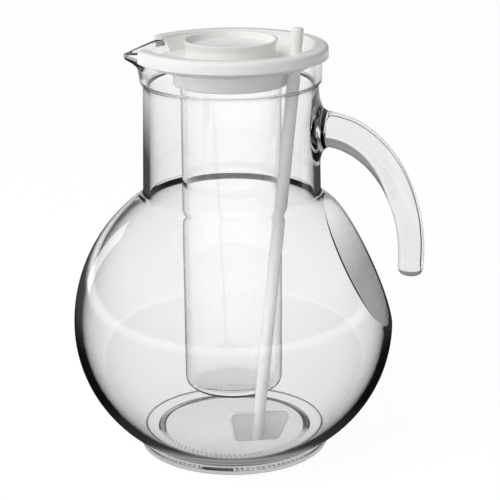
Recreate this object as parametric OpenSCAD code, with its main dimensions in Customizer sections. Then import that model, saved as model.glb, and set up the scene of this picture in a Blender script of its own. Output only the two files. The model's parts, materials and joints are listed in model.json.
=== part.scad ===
// Glass pitcher with a plastic lid, a hanging ice tube with its cap, and a stirrer.
// Millimetres. Z is up, the table is at z = 0 and the jug's axis is the Z axis.
// The handle points along +X and the spout along -X.

/* [Belly] */
// Outer diameter of the round belly
belly_d = 170; // [162:1:178]
// Height of the widest ring of the belly above the table
belly_z = 67.7; // [65:0.1:71]
// Wall of the belly
belly_wall = 4; // [3:0.1:5]
// Depth of the flat panel cut into the ball under the handle
panel_depth = 9.9; // [7:0.1:12]
// Tilt of the flat panel, as the angle of its normal above level
panel_tilt = 27.5; // [24:0.5:32]

/* [Foot and floor] */
// Outer diameter of the foot
foot_d = 101.4; // [99:0.1:106]
// Diameter of the belly where it meets the foot
waist_d = 98.2; // [95:0.1:99]
// Height of the foot
foot_h = 4.5; // [3.5:0.1:6]
// Rounding of the foot's lower edge
foot_round = 1.2; // [0.5:0.1:2]
// Width of the ring that stands on the table
foot_ring_w = 11; // [8:0.5:14]
// Depth of the hollow under the floor
punt_h = 2.2; // [1:0.1:3.2]
// Height of the inner floor above the table
floor_z = 9; // [7:0.1:11]
// Rounding between the inner floor and the wall
floor_round = 8; // [5:0.5:11]

/* [Neck and mouth] */
// Outer diameter of the neck under its band
neck_top_d = 90.4; // [88:0.1:93]
// Growth of the neck's radius from its top to the belly
neck_spread = 1.3; // [0.5:0.1:2.2]
// Wall of the neck and of the mouth
neck_wall = 3.3; // [2.8:0.1:3.8]
// Rounding between the belly and the neck
neck_round = 5; // [3:0.5:8]
// Height of the glass rim above the table
rim_z = 215; // [208:1:222]
// How far the band around the mouth stands out from the neck
band_step = 1.6; // [1.1:0.1:2.4]
// Height of the band
band_h = 18; // [15:0.5:21]

/* [Spout] */
// How far the spout's tip stands out from the band
spout_out = 8.7; // [7:0.1:11]
// Radius of the spout's tip
spout_tip_r = 2.8; // [2:0.1:3.4]
// Height of the tip's centre below the rim
spout_drop = 5.2; // [4:0.1:6.5]
// Height of the spout's root below the rim
spout_depth = 10.5; // [9.5:0.1:13]
// Glass left under and beside the pouring channel
spout_wall = 2.5; // [2:0.1:2.7]
// Fall of the lip from the rim to the tip
spout_lip_fall = 3.5; // [2:0.1:4.5]

/* [Handle] */
// Depth below the rim at which the handle's centre line meets the neck
handle_drop = 40.5; // [37:0.5:44]
// Reach of the centre line of the free tail from the jug's axis
handle_reach = 94; // [91:0.5:98]
// Height of the centre line from its lower end to the neck
handle_h = 71.7; // [68:0.1:75]
// Angle at which the handle droops as it leaves the neck
handle_droop = 5.4; // [2:0.1:9]
// Pull of the curve at the neck
handle_pull_top = 31.8; // [28:0.1:35]
// Pull of the curve at the tail
handle_pull_low = 34.1; // [30:0.1:37]
// Outward lean of the curve above the tail
handle_lean = 2.6; // [0:0.1:5]
// Diameter of the handle beside the neck
handle_d = 19.2; // [17.5:0.1:20.5]
// Diameter of the free tail
handle_tail_d = 13.4; // [12:0.1:14.6]
// Growth of the radius where the hot glass was pressed on the neck
handle_flare = 11.5; // [8:0.5:12.5]
// Length over which that growth dies away
handle_flare_run = 2.2; // [1.8:0.1:4]

/* [Lid] */
// Wall of the lid
lid_wall = 2; // [1.6:0.1:2.4]
// Play between the lid's plug and the glass
lid_slip = 0.5; // [0.3:0.05:0.8]
// Play between the lid's skirt and the band
skirt_slip = 1.5; // [1:0.1:2]
// Depth of the skirt below the top of the lid
skirt_h = 6.5; // [5.5:0.1:7.5]
// Rounding of the rolled ring's outer edge
ring_round = 3; // [2:0.1:3.4]
// Rounding of the rolled ring's inner edge
ring_inner_round = 1.2; // [0.8:0.1:1.6]
// Depth of the lid's floor below its top
well_h = 8; // [7:0.1:9]
// Radius lost by the well's wall from its top to the floor
well_taper = 3.6; // [2.5:0.1:4]
// Half of the angle that the pouring notch opens
notch_half = 29.5; // [26:0.5:31]
// Gap between the rim and the lid that rests on it
seat_gap = 0.3; // [0.2:0.05:0.4]

/* [Ice tube] */
// Way for the stirrer between the lid's plug and the ice tube
tube_inset = 17; // [16:0.1:18.5]
// Wall of the ice tube
tube_wall = 2; // [1.5:0.1:2.4]
// Gap between the ice tube and the glass floor under it
tube_floor_gap = 22.4; // [19:0.1:30]
// Rounding of the tube's lower edge
tube_round = 6; // [4:0.5:8]
// Width of the flange that the tube hangs by
flange_w = 1.6; // [1.3:0.1:2]
// Thickness of that flange
flange_t = 1.8; // [1.4:0.1:2.2]
// Height of the tube's mouth above its flange
mouth_h = 4.6; // [3.6:0.1:5.4]
// Depth of the lid's socket under the lid's floor
socket_h = 10; // [9:0.1:11]
// Wall of the socket
socket_wall = 1.8; // [1.5:0.1:2.2]
// Rounding of the socket's lower edge
socket_round = 1.6; // [1:0.1:2]
// Play between the tube and the socket
tube_slip = 0.3; // [0.2:0.05:0.45]

/* [Cap] */
// Wall of the cap
cap_wall = 1.6; // [1.3:0.1:1.9]
// How far the cup's wall stands in from the ice tube's outside
cap_in = 2.8; // [2.5:0.1:3.5]
// How far the cap's lip flares out from its cup
cap_flare = 1.3; // [0.8:0.1:1.8]
// Height of the cap above the lid's floor
cap_h = 10.6; // [9.6:0.1:12]
// Depth of the recess in the top of the cap
cap_recess_h = 3.6; // [2.8:0.1:4.2]
// Height of the flared lip
cap_lip_h = 3.4; // [2.6:0.1:4]
// Width of the rim that rests on the lid around the socket
cap_rest_w = 1.4; // [1:0.1:1.8]
// Thickness of that rim
cap_rest_t = 1.4; // [1:0.1:1.8]
// Depth of the plug below the lid's floor
plug_h = 7.5; // [6.5:0.1:8.5]
// Play between the plug and the tube
plug_slip = 0.3; // [0.2:0.05:0.45]

/* [Stirrer] */
// Diameter of the stirrer's rod
rod_d = 6.3; // [5.6:0.1:6.8]
// Radius of the small flat in the middle of the rod's round end
rod_end_flat_r = 0.6; // [0.4:0.1:1.2]
// Height of the rod's end above the top of the lid
rod_proud = 10; // [7:0.5:15]
// Direction of the stirrer's foot around the jug's axis
rod_foot_turn = -63; // [-67:1:-60]
// Direction of the stirrer where it passes the lid
rod_lid_turn = -15; // [-18:1:-12]
// Gap between the rod's foot and a straight line down from the ice tube
rod_tube_gap = 4.2; // [3.4:0.05:4.8]
// Play of the rod in the lid
rod_slip = 0.45; // [0.3:0.05:0.6]
// Width of the paddle at its top
paddle_top_w = 36; // [33:0.5:38]
// Width of the paddle at its foot
paddle_foot_w = 25; // [22:0.5:27]
// Height of the paddle
paddle_h = 16; // [13:0.5:18]
// Radius of the paddle's corners
paddle_corner_r = 3; // [2:0.1:4]
// Thickness of the paddle's web
paddle_web_t = 1.4; // [1:0.1:1.8]
// Thickness of the border around the web
paddle_border_t = 2.4; // [2:0.1:3]
// Width of that border
paddle_border_w = 1.5; // [1:0.1:2]
// Gap between the paddle and the glass floor
paddle_floor_gap = 0.3; // [0.2:0.05:0.6]

/* [Hidden] */
over = 1;
quarter_turn = 90;
$fn = 96;

// Belly, as one ball above its widest ring and one arc below it
belly_r = belly_d / 2;
waist_in = belly_r - waist_d / 2;
belly_low_r = (waist_in^2 + (belly_z - foot_h)^2) / (2 * waist_in);
belly_low_x = belly_r - belly_low_r;
foot_r = foot_d / 2;
punt_r = foot_r - foot_ring_w;
floor_round_steps = 8;

// Neck and mouth
neck_top_r = neck_top_d / 2;
neck_low_r = neck_top_r + neck_spread;
band_r = neck_top_r + band_step;
band_z = rim_z - band_h;
mouth_r = band_r - neck_wall;
rim_round_share = 0.45;
rim_round = rim_round_share * neck_wall;

// Heights at which the slices of the glass meet, the lowest one between the floor and the paddle
foot_seam_z = floor_z + paddle_floor_gap / 2;
bowl_seam_share = 0.88;
bowl_seam_z = bowl_seam_share * belly_z;
neck_seam_z = rounding_centre(belly_r, neck_low_r, neck_round)[1];

// Spout
spout_reach = band_r + spout_out;
beak_z = rim_z - spout_depth;
beak_sink_share = 0.15;
beak_sink = beak_sink_share * neck_wall;
channel_tip_r = spout_tip_r / 2;
lip_angle = atan(spout_lip_fall / (spout_reach - mouth_r));

// Handle's centre line, from the neck's surface to the tail
handle_z = rim_z - handle_drop;
handle_tail_z = handle_z - handle_h;
handle_points = [
    [neck_low_r, handle_z],
    [neck_low_r, handle_z] + handle_pull_top * [cos(handle_droop), -sin(handle_droop)],
    [handle_reach, handle_tail_z] + handle_pull_low * [sin(handle_lean), cos(handle_lean)],
    [handle_reach, handle_tail_z],
];
handle_sides = 28;
handle_rings = 34;
handle_end_rings = 7;
handle_start_share = -0.08;
handle_crowd_share = 1.35;
handle_slim_share = 1.4;
handle_width_share = 1.08;
flare_width_share = 0.82;

// Lid
lid_top_z = rim_z + seat_gap + lid_wall;
skirt_r = band_r + skirt_slip;
ring_r = skirt_r + lid_wall;
plug_top_r = mouth_r - lid_slip;
well_low_r = plug_top_r - well_taper;
well_z = lid_top_z - well_h;
floor_low_z = well_z - lid_wall;
skirt_z = lid_top_z - skirt_h;
ring_mid_r = (ring_r + plug_top_r) / 2;
nose_sink = 0.15;
lid_round_steps = 6;

// Ice tube and its socket
tube_r = plug_top_r - tube_inset;
tube_in_r = tube_r - tube_wall;
flange_r = tube_r + flange_w;
socket_in_r = flange_r + tube_slip;
socket_r = socket_in_r + socket_wall;
socket_low_z = floor_low_z - socket_h;
ledge_z = socket_low_z + socket_wall;
flange_z = ledge_z + tube_slip;
tube_low_z = floor_z + tube_floor_gap;
tube_top_z = flange_z + flange_t + mouth_h;
tube_in_round = tube_round - tube_wall;

// Cap
cap_r = tube_r - cap_in;
cap_lip_r = cap_r + cap_flare;
cap_rest_r = socket_in_r + cap_rest_w;
cap_top_z = well_z + cap_h;
cap_plate_z = cap_top_z - cap_recess_h;
cap_lip_z = cap_top_z - cap_lip_h;
plug_r = tube_in_r - plug_slip;
plug_z = well_z - plug_h;

// Stirrer, from its foot on the glass floor to its hole half way across the lid's floor
rod_r = rod_d / 2;
rod_foot_r = tube_r + rod_r + rod_tube_gap;
rod_lid_r = (socket_r + well_low_r) / 2;
rod_foot_xy = rod_foot_r * [cos(rod_foot_turn), sin(rod_foot_turn)];
rod_lid_xy = rod_lid_r * [cos(rod_lid_turn), sin(rod_lid_turn)];
rod_shift = rod_lid_xy - rod_foot_xy;
rod_lean_turn = atan2(rod_shift[1], rod_shift[0]);
rod_rise = well_z - floor_z;
rod_lean = atan2(norm(rod_shift), rod_rise);
paddle_turn = rod_foot_turn + 90 - rod_lean_turn;
paddle_lean = atan((paddle_top_w - paddle_foot_w) / (2 * paddle_h));
paddle_round_steps = 6;
foot_lift = paddle_foot_w / 2 * sin(rod_lean) + paddle_floor_gap;
rod_l = (lid_top_z + rod_proud - floor_z - foot_lift) / cos(rod_lean);

// Turns a drawing in radius and height round the jug's axis
module turned() {
    rotate_extrude() children();
}

// Where a rounding of radius f between a ball of radius ball_r and a neck has its centre
function rounding_centre(ball_r, neck_r, f) =
    [neck_r + f, belly_z + sqrt((ball_r + f)^2 - (neck_r + f)^2)];

// Half section of the belly, taken in by inset from the outside
module belly_section(inset) {
    low_z = foot_h / 2;
    core_r = max(belly_low_x, over);
    intersection() {
        translate([0, belly_z]) circle(belly_r - inset);
        translate([0, belly_z]) square(belly_r);
    }
    intersection() {
        translate([belly_low_x, belly_z]) circle(belly_low_r - inset);
        translate([core_r, low_z]) square([belly_r, belly_z - low_z]);
    }
    translate([0, low_z]) square([core_r, belly_z - low_z]);
}

// Rounded corner in which the neck grows out of a ball
module neck_rounding(ball_r, neck_r, f) {
    centre = rounding_centre(ball_r, neck_r, f);
    touch = [0, belly_z] + (centre - [0, belly_z]) * ball_r / (ball_r + f);
    difference() {
        polygon([
            centre,
            [neck_r, centre[1]],
            [neck_r - f / 2, centre[1]],
            [neck_r - f / 2, touch[1]],
            touch,
        ]);
        translate(centre) circle(f);
    }
}

// Half section of the neck, its band and the rounded rim, filled to the axis
module neck_section() {
    start = rounding_centre(belly_r, neck_low_r, neck_round);
    polygon([
        [0, belly_z],
        [neck_low_r, belly_z],
        [neck_low_r, start[1]],
        [neck_top_r, band_z],
        [band_r, band_z + band_step],
        [band_r, rim_z - rim_round],
        [band_r - rim_round, rim_z - rim_round],
        [band_r - rim_round, rim_z],
        [0, rim_z],
    ]);
    translate([band_r - rim_round, rim_z - rim_round]) circle(rim_round);
    neck_rounding(belly_r, neck_low_r, neck_round);
}

// Half section of the room inside the neck, open at the top
module bore_section() {
    ball_r = belly_r - belly_wall;
    low_r = neck_low_r - neck_wall;
    f = neck_round + neck_wall;
    start = rounding_centre(ball_r, low_r, f);
    polygon([
        [0, belly_z],
        [low_r, belly_z],
        [low_r, start[1]],
        [neck_top_r - neck_wall, band_z],
        [mouth_r, band_z + band_step],
        [mouth_r, rim_z - rim_round],
        [0, rim_z - rim_round],
    ]);
    difference() {
        translate([0, rim_z - rim_round]) square([mouth_r + rim_round, rim_round + over]);
        translate([mouth_r + rim_round, rim_z - rim_round]) circle(rim_round);
    }
    neck_rounding(ball_r, low_r, f);
}

// Points along an arc of radius r round a centre, between two directions
function arc_points(centre, r, from, to, steps) = [
    for (i = [0 : steps])
        let (a = from + (to - from) * i / steps)
        centre + r * [cos(a), sin(a)]
];

// Half section of the room inside the belly, with its rounded floor
module room_section() {
    inner_r = belly_low_r - belly_wall - floor_round;
    rise = belly_z - floor_z - floor_round;
    centre = [belly_low_x + sqrt(inner_r^2 - rise^2), floor_z + floor_round];
    turn = atan2(-rise, centre[0] - belly_low_x);
    corner = arc_points(centre, floor_round, -90, turn, floor_round_steps);
    touch_z = corner[floor_round_steps][1];
    intersection() {
        belly_section(belly_wall);
        translate([0, touch_z]) square([belly_r, belly_d]);
    }
    polygon(concat([[0, floor_z]], corner, [[0, touch_z]]));
}

// The half space that the flat panel takes off a ball of radius ball_r
module panel_cut(ball_r) {
    translate([0, 0, belly_z])
        rotate([0, -panel_tilt, 0])
            translate([ball_r - panel_depth, -ball_r, -ball_r])
                cube([ball_r, 2 * ball_r, 2 * ball_r]);
}

// Half section of the foot, with a rounded lower edge
module foot_section() {
    square([foot_r - foot_round, foot_h]);
    translate([0, foot_round]) square([foot_r, foot_h - foot_round]);
    translate([foot_r - foot_round, foot_round]) circle(foot_round);
}

// Half section of the hollow under the floor
module punt_section() {
    polygon([
        [0, -over],
        [punt_r, -over],
        [punt_r, 0],
        [punt_r - 2 * punt_h, punt_h],
        [0, punt_h],
    ]);
}

// Beak pressed out of the mouth
module beak() {
    hull() {
        translate([0, 0, beak_z])
            cylinder(r = band_r - beak_sink, h = spout_depth - rim_round, $fn = 32);
        translate([spout_tip_r - spout_reach, 0, rim_z - spout_drop])
            sphere(r = spout_tip_r, $fn = 32);
    }
}

// Pouring channel in the beak, open at the top
module channel() {
    hull() {
        translate([0, 0, beak_z + spout_wall])
            cylinder(r = mouth_r - beak_sink, h = spout_depth, $fn = 32);
        translate([channel_tip_r + spout_wall - spout_reach, 0, rim_z - spout_drop - spout_tip_r + spout_wall])
            cylinder(r = channel_tip_r, h = spout_depth, $fn = 32);
    }
}

// Slope that lowers the lip from the rim to the tip
module lip_slope() {
    translate([-mouth_r, 0, rim_z])
        rotate([0, -lip_angle, 0])
            translate([-band_r, -band_r, 0])
                cube([band_r, 2 * band_r, spout_depth]);
}

// Outside of the belly, with its flat panel
module belly_outside() {
    difference() {
        turned() belly_section(0);
        panel_cut(belly_r);
    }
}

// The jug's glass between two heights, without its spout. It is one piece of glass, drawn as
// four level slices that meet face to face, so that each slice stays a simple shape.
module glass_slice(low_z, high_z) {
    color("lightcyan", 0.5)
        intersection() {
            difference() {
                union() {
                    belly_outside();
                    turned() foot_section();
                    turned() neck_section();
                }
                difference() {
                    turned() room_section();
                    panel_cut(belly_r - belly_wall);
                }
                turned() bore_section();
                turned() punt_section();
            }
            translate([-belly_d, -belly_d, low_z])
                cube([2 * belly_d, 2 * belly_d, high_z - low_z]);
        }
}

// Foot and floor, up to the start of the wall
module jug_foot() {
    glass_slice(0, foot_seam_z);
}

// Lower half of the belly
module jug_bowl() {
    glass_slice(foot_seam_z, bowl_seam_z);
}

// Upper half of the belly, with the flat panel
module jug_body() {
    glass_slice(bowl_seam_z, neck_seam_z);
}

// Neck, band and rim with the spout
module jug_neck() {
    color("lightcyan", 0.5)
        difference() {
            union() {
                translate([0, 0, neck_seam_z])
                    cylinder(r1 = neck_low_r, r2 = neck_top_r, h = band_z - neck_seam_z);
                intersection() {
                    turned() neck_section();
                    translate([-belly_d, -belly_d, band_z])
                        cube([2 * belly_d, 2 * belly_d, band_h]);
                }
                beak();
            }
            turned() bore_section();
            channel();
            lip_slope();
        }
}

// A point of the handle's centre line, and the direction in which it runs there
function bezier(p, t) =
    (1 - t)^3 * p[0] + 3 * (1 - t)^2 * t * p[1] + 3 * (1 - t) * t^2 * p[2] + t^3 * p[3];
function bezier_run(p, t) =
    3 * (1 - t)^2 * (p[1] - p[0]) + 6 * (1 - t) * t * (p[2] - p[1]) + 3 * t^2 * (p[3] - p[2]);
function unit(v) = v / norm(v);

// Radius of the handle without its flare, and the flare that its root adds
function shaft_r(t) =
    (handle_tail_d + (handle_d - handle_tail_d) * (1 - max(t, 0))^handle_slim_share) / 2;
function flare_r(t) =
    handle_flare * exp(-max(bezier(handle_points, t)[0] - neck_low_r, 0) / handle_flare_run);

// One ring of the handle: centre, running direction, half height and half width
function handle_station(t) = [
    bezier(handle_points, t),
    unit(bezier_run(handle_points, t)),
    shaft_r(t) + flare_r(t),
    handle_width_share * shaft_r(t) + flare_width_share * flare_r(t),
];
function end_station(turn) =
    let (s = handle_station(1))
    [s[0] + s[1] * s[2] * sin(turn), s[1], s[2] * cos(turn), s[3] * cos(turn)];
function ring_points(s) = [
    for (i = [0 : handle_sides - 1])
        let (a = 360 * i / handle_sides, up = [-s[1][1], s[1][0]])
        [
            s[0][0] + s[2] * cos(a) * up[0],
            s[3] * sin(a),
            s[0][1] + s[2] * cos(a) * up[1],
        ]
];

// The handle as one swept skin, with a round end and a wide root inside the neck
module handle_skin() {
    stations = concat(
        [
            for (i = [0 : handle_rings])
                handle_station(
                    handle_start_share
                    + (1 - handle_start_share) * (i / handle_rings)^handle_crowd_share
                )
        ],
        [for (i = [1 : handle_end_rings - 1]) end_station(quarter_turn * i / handle_end_rings)]
    );
    tip = end_station(quarter_turn)[0];
    count = len(stations);
    points = concat(
        [for (s = stations) each ring_points(s)],
        [[tip[0], 0, tip[1]]]
    );
    sides = [
        for (k = [0 : count - 2], i = [0 : handle_sides - 1])
            let (j = (i + 1) % handle_sides, a = k * handle_sides, b = a + handle_sides)
            each [[a + i, b + i, b + j], [a + i, b + j, a + j]]
    ];
    root = [[for (i = [0 : handle_sides - 1]) i]];
    last = (count - 1) * handle_sides;
    end = [
        for (i = [0 : handle_sides - 1])
            [last + i, count * handle_sides, last + (i + 1) % handle_sides]
    ];
    polyhedron(points, concat(root, sides, end));
}

module handle() {
    color("azure", 0.6)
        difference() {
            handle_skin();
            turned() neck_section();
            belly_outside();
        }
}

// Half section of the lid: a ledge for the tube, the socket, the floor, the sloping plug,
// the groove over the glass rim, the skirt and the rolled ring
module lid_section() {
    polygon(concat(
        [[tube_r + tube_slip, socket_low_z]],
        arc_points([socket_r - socket_round, socket_low_z + socket_round],
            socket_round, -90, 0, lid_round_steps),
        [
            [socket_r, floor_low_z],
            [well_low_r + lid_wall, floor_low_z],
            [well_low_r + lid_wall, well_z],
            [plug_top_r, rim_z - rim_round],
            [plug_top_r + rim_round, rim_z + seat_gap],
            [skirt_r, rim_z + seat_gap],
            [skirt_r, skirt_z],
            [ring_r, skirt_z],
        ],
        arc_points([ring_r - ring_round, lid_top_z - ring_round],
            ring_round, 0, 90, lid_round_steps),
        arc_points([plug_top_r + ring_inner_round, lid_top_z - ring_inner_round],
            ring_inner_round, 90, 180, lid_round_steps),
        [
            [well_low_r, well_z],
            [socket_in_r, well_z],
            [socket_in_r, ledge_z],
            [tube_r + tube_slip, ledge_z],
        ]
    ));
}

// Half section of the nose that ends the ring, round its own upright axis
module nose_section() {
    r = (ring_r - plug_top_r) / 2 - nose_sink;
    polygon(concat(
        [[0, skirt_z + nose_sink], [r, skirt_z + nose_sink]],
        arc_points([r + nose_sink - ring_round, lid_top_z - ring_round],
            ring_round - nose_sink, 0, 90, lid_round_steps),
        [[0, lid_top_z - nose_sink]]
    ));
}

// Round nose that ends the ring at one side of the notch, clear of the glass rim
module ring_nose(side) {
    difference() {
        rotate([0, 0, side * notch_half])
            translate([-ring_mid_r, 0, 0])
                rotate_extrude() nose_section();
        turned()
            polygon([
                [plug_top_r, skirt_z],
                [plug_top_r, rim_z - rim_round + nose_sink],
                [plug_top_r + rim_round, rim_z + seat_gap + nose_sink],
                [skirt_r + nose_sink, rim_z + seat_gap + nose_sink],
                [skirt_r + nose_sink, skirt_z],
            ]);
    }
}

// Wedge of the ring that the notch takes away
module notch() {
    reach = 2 * ring_r;
    translate([0, 0, floor_low_z])
        linear_extrude(well_h + lid_wall + over)
            difference() {
                polygon([
                    [0, 0],
                    reach * [-cos(notch_half), -sin(notch_half)],
                    [-reach, 0],
                    reach * [-cos(notch_half), sin(notch_half)],
                ]);
                circle(well_low_r);
            }
}

// Places its children on the stirrer's line, with Z along the rod and the foot at z = 0
module along_rod() {
    translate([rod_foot_xy[0], rod_foot_xy[1], floor_z])
        rotate([0, rod_lean, rod_lean_turn])
            rotate([0, 0, paddle_turn])
                children();
}

module lid() {
    color("white")
        difference() {
            union() {
                difference() {
                    turned() lid_section();
                    notch();
                }
                ring_nose(-1);
                ring_nose(1);
            }
            along_rod() cylinder(r = rod_r + rod_slip, h = 2 * rod_rise);
        }
}

// Ice tube: a round-edged beaker with the flange that it hangs by
module ice_tube() {
    color("aliceblue", 0.5)
        turned() {
            difference() {
                union() {
                    translate([0, tube_low_z]) square([tube_r - tube_round, tube_round]);
                    translate([0, tube_low_z + tube_round])
                        square([tube_r, tube_top_z - tube_low_z - tube_round]);
                    intersection() {
                        translate([tube_r - tube_round, tube_low_z + tube_round])
                            circle(tube_round);
                        translate([0, tube_low_z]) square([tube_r, tube_top_z - tube_low_z]);
                    }
                    translate([0, flange_z]) square([flange_r, flange_t]);
                }
                translate([0, tube_low_z + tube_round])
                    square([tube_in_r, tube_top_z - tube_low_z]);
                translate([0, tube_low_z + tube_wall])
                    square([tube_in_r - tube_in_round, tube_round]);
                intersection() {
                    translate([tube_in_r - tube_in_round, tube_low_z + tube_round])
                        circle(tube_in_round);
                    translate([0, tube_low_z]) square([tube_r, tube_top_z - tube_low_z]);
                }
            }
        }
}

// Cap: a cup with a flared lip above, a rim that rests on the lid and a plug for the tube
module ice_tube_cap() {
    lip_in_r = cap_lip_r - cap_wall;
    cup_in_r = cap_r - cap_wall;
    plate_low_z = cap_plate_z - cap_wall;
    color("white")
        turned()
            polygon([
                [0, plate_low_z],
                [cup_in_r, plate_low_z],
                [cup_in_r, well_z + cap_rest_t],
                [plug_r - cap_wall, well_z],
                [plug_r - cap_wall, plug_z],
                [plug_r - cap_wall / 2, plug_z],
                [plug_r, plug_z + cap_wall / 2],
                [plug_r, well_z],
                [cap_rest_r, well_z],
                [cap_rest_r, well_z + cap_rest_t / 2],
                [cap_rest_r - cap_rest_t / 2, well_z + cap_rest_t],
                [cap_r + cap_rest_t, well_z + cap_rest_t],
                [cap_r, well_z + 2 * cap_rest_t],
                [cap_r, cap_lip_z],
                [cap_lip_r, cap_top_z - cap_wall / 2],
                [cap_lip_r - cap_wall / 4, cap_top_z],
                [lip_in_r + cap_wall / 4, cap_top_z],
                [lip_in_r, cap_top_z - cap_wall / 2],
                [cup_in_r, cap_plate_z],
                [0, cap_plate_z],
            ]);
}

// Centre of a rounded corner of the paddle, at height y above its foot
function paddle_corner(y) =
    [paddle_foot_w / 2 + y * tan(paddle_lean) - paddle_corner_r / cos(paddle_lean), y];

// Outline of the paddle, drawn in its own plane with the foot at the bottom, taken in by inset
module paddle_outline(inset) {
    r = paddle_corner_r - inset;
    right = concat(
        arc_points(paddle_corner(paddle_corner_r), r,
            -quarter_turn, -paddle_lean, paddle_round_steps),
        arc_points(paddle_corner(paddle_h - paddle_corner_r), r,
            -paddle_lean, quarter_turn, paddle_round_steps)
    );
    left = [for (i = [len(right) - 1 : -1 : 0]) [-right[i][0], right[i][1]]];
    polygon(concat(right, left));
}

// A plate of the paddle's outline, standing upright across the rod's line
module paddle_plate(inset, t) {
    translate([0, t / 2, 0])
        rotate([90, 0, 0])
            linear_extrude(t) paddle_outline(inset);
}

// Half section of the rod, from the paddle's border at its foot to the round end
module rod_section() {
    low = paddle_border_w / 2;
    end_round = rod_r - rod_end_flat_r;
    translate([0, low]) square([rod_r, rod_l - end_round - low]);
    translate([0, rod_l - end_round]) square([rod_end_flat_r, end_round]);
    translate([rod_end_flat_r, rod_l - end_round])
        intersection() {
            circle(end_round);
            square(end_round);
        }
}

module stirrer() {
    color("whitesmoke")
        along_rod()
            translate([0, 0, foot_lift / cos(rod_lean)]) {
                turned() rod_section();
                paddle_plate(paddle_border_w / 2, paddle_web_t);
                difference() {
                    paddle_plate(0, paddle_border_t);
                    paddle_plate(paddle_border_w, 2 * paddle_border_t);
                }
            }
}

jug_foot();
jug_bowl();
jug_body();
jug_neck();
handle();
lid();
ice_tube();
ice_tube_cap();
stirrer();
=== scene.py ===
# %% [markdown]
# # A glass pitcher with a lid, an ice tube and a stirrer
# This file dresses a finished CAD model. The CAD model gives the sizes and the joints, and the
# pieces made here are finer meshes that stand in the same places. Each step says what the real
# piece is, how it could be made, and why one way was chosen.

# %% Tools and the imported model
import json
import math

import bmesh
import bpy
import numpy as np
from mathutils import Matrix, Vector


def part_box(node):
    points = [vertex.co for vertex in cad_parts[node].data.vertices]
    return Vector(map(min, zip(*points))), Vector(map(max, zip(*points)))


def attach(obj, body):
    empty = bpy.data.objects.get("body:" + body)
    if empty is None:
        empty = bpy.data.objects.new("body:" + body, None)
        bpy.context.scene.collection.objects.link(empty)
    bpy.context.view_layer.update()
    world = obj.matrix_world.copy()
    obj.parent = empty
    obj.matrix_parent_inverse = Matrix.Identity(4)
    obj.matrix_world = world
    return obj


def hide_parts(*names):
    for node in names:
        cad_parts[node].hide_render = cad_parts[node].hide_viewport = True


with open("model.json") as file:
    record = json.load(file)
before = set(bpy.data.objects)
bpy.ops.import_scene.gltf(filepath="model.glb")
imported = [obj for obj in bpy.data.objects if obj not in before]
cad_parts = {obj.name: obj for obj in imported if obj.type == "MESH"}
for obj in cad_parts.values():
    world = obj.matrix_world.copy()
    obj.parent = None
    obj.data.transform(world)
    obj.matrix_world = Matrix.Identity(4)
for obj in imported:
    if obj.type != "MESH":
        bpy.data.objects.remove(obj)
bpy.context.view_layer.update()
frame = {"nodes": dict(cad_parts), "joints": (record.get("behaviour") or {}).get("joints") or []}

# %% [markdown]
# ## Sizes
# Drawings of glassware are in millimetres, and Blender works in metres, so every drawing below is
# in millimetres, and its points turn to metres where they become a mesh. The main sizes are read
# from the CAD nodes, so that the looks always fit them.

# %% Main sizes from the CAD nodes
MM = 0.001


def size_of(node):
    """Lowest and highest corner of a CAD node, in millimetres."""
    low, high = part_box(node)
    return low / MM, high / MM


GLASS_NODES = [node for node in frame["nodes"] if node.startswith("jug_")] + ["handle"]
lid_low, lid_high = size_of("lid")
tube_low, tube_high = size_of("ice_tube")
cap_low, cap_high = size_of("ice_tube_cap")
rod_top_z = size_of("stirrer")[1].z
belly_r = max(size_of(node)[1].y for node in GLASS_NODES)
rim_z = max(size_of(node)[1].z for node in GLASS_NODES)
print(f"belly {2 * belly_r:.1f} mm across, glass rim {rim_z:.1f} mm high")

# %% [markdown]
# ## Drawing helpers
# Nearly every piece of this jug is round, so it starts as a half section: a line of points, each
# with a radius and a height. Three helpers draw arcs, rounded corners and even stretches, and
# one turns the line round the jug's axis.

# %% Arcs, rounded corners and even stretches
# The largest share of a straight side that one rounding takes up
SIDE_SHARE = 0.48


def arc(centre, radius, start, end, steps):
    """Points on an arc, from one direction to the other, in degrees."""
    turns = np.radians(np.linspace(start, end, steps + 1))
    return [(centre[0] + radius * math.cos(t), centre[1] + radius * math.sin(t)) for t in turns]


def rounded(corners, roundings, steps=4):
    """A line through corners (r, z), with each inner corner rounded off by its own radius."""
    line = []
    for index, ((r, z), rounding) in enumerate(zip(corners, roundings)):
        here = Vector((r, z))
        if not rounding or index in (0, len(corners) - 1):
            line.append((r, z))
            continue
        before = Vector(corners[index - 1]) - here
        after = Vector(corners[index + 1]) - here
        half = before.angle(after) / 2
        run = min(rounding / math.tan(half), SIDE_SHARE * before.length, SIDE_SHARE * after.length)
        first = here + before.normalized() * run
        last = here + after.normalized() * run
        for step in range(steps + 1):
            t = step / steps
            point = (1 - t) ** 2 * first + 2 * t * (1 - t) * here + t**2 * last
            line.append((point.x, point.y))
    return line


def stretch(start, end, steps):
    """Evenly spaced points on a straight stretch, without its two ends."""
    (r, z), (end_r, end_z) = start, end
    return [(r + (end_r - r) * s, z + (end_z - z) * s) for s in np.linspace(0, 1, steps + 1)[1:-1]]


print("a corner of 90 degrees becomes", len(rounded([(0, 0), (9, 0), (9, 9)], (0, 1, 0))) - 2, "points")

# %% Mesh objects from points in millimetres
# Points closer than this, in millimetres, become one
WELD = 0.002


def ring_bands(rows, count):
    """Faces between rows of points, where each row closes to a ring."""
    faces = []
    for row in range(rows - 1):
        for i in range(count):
            a, b = row * count + i, row * count + (i + 1) % count
            faces.append((a, b, b + count, a + count))
    return faces


def placed(name, data):
    """An object at the origin that shows a mesh, a lamp or a camera."""
    thing = bpy.data.objects.new(name, data)
    bpy.context.scene.collection.objects.link(thing)
    return thing


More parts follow.
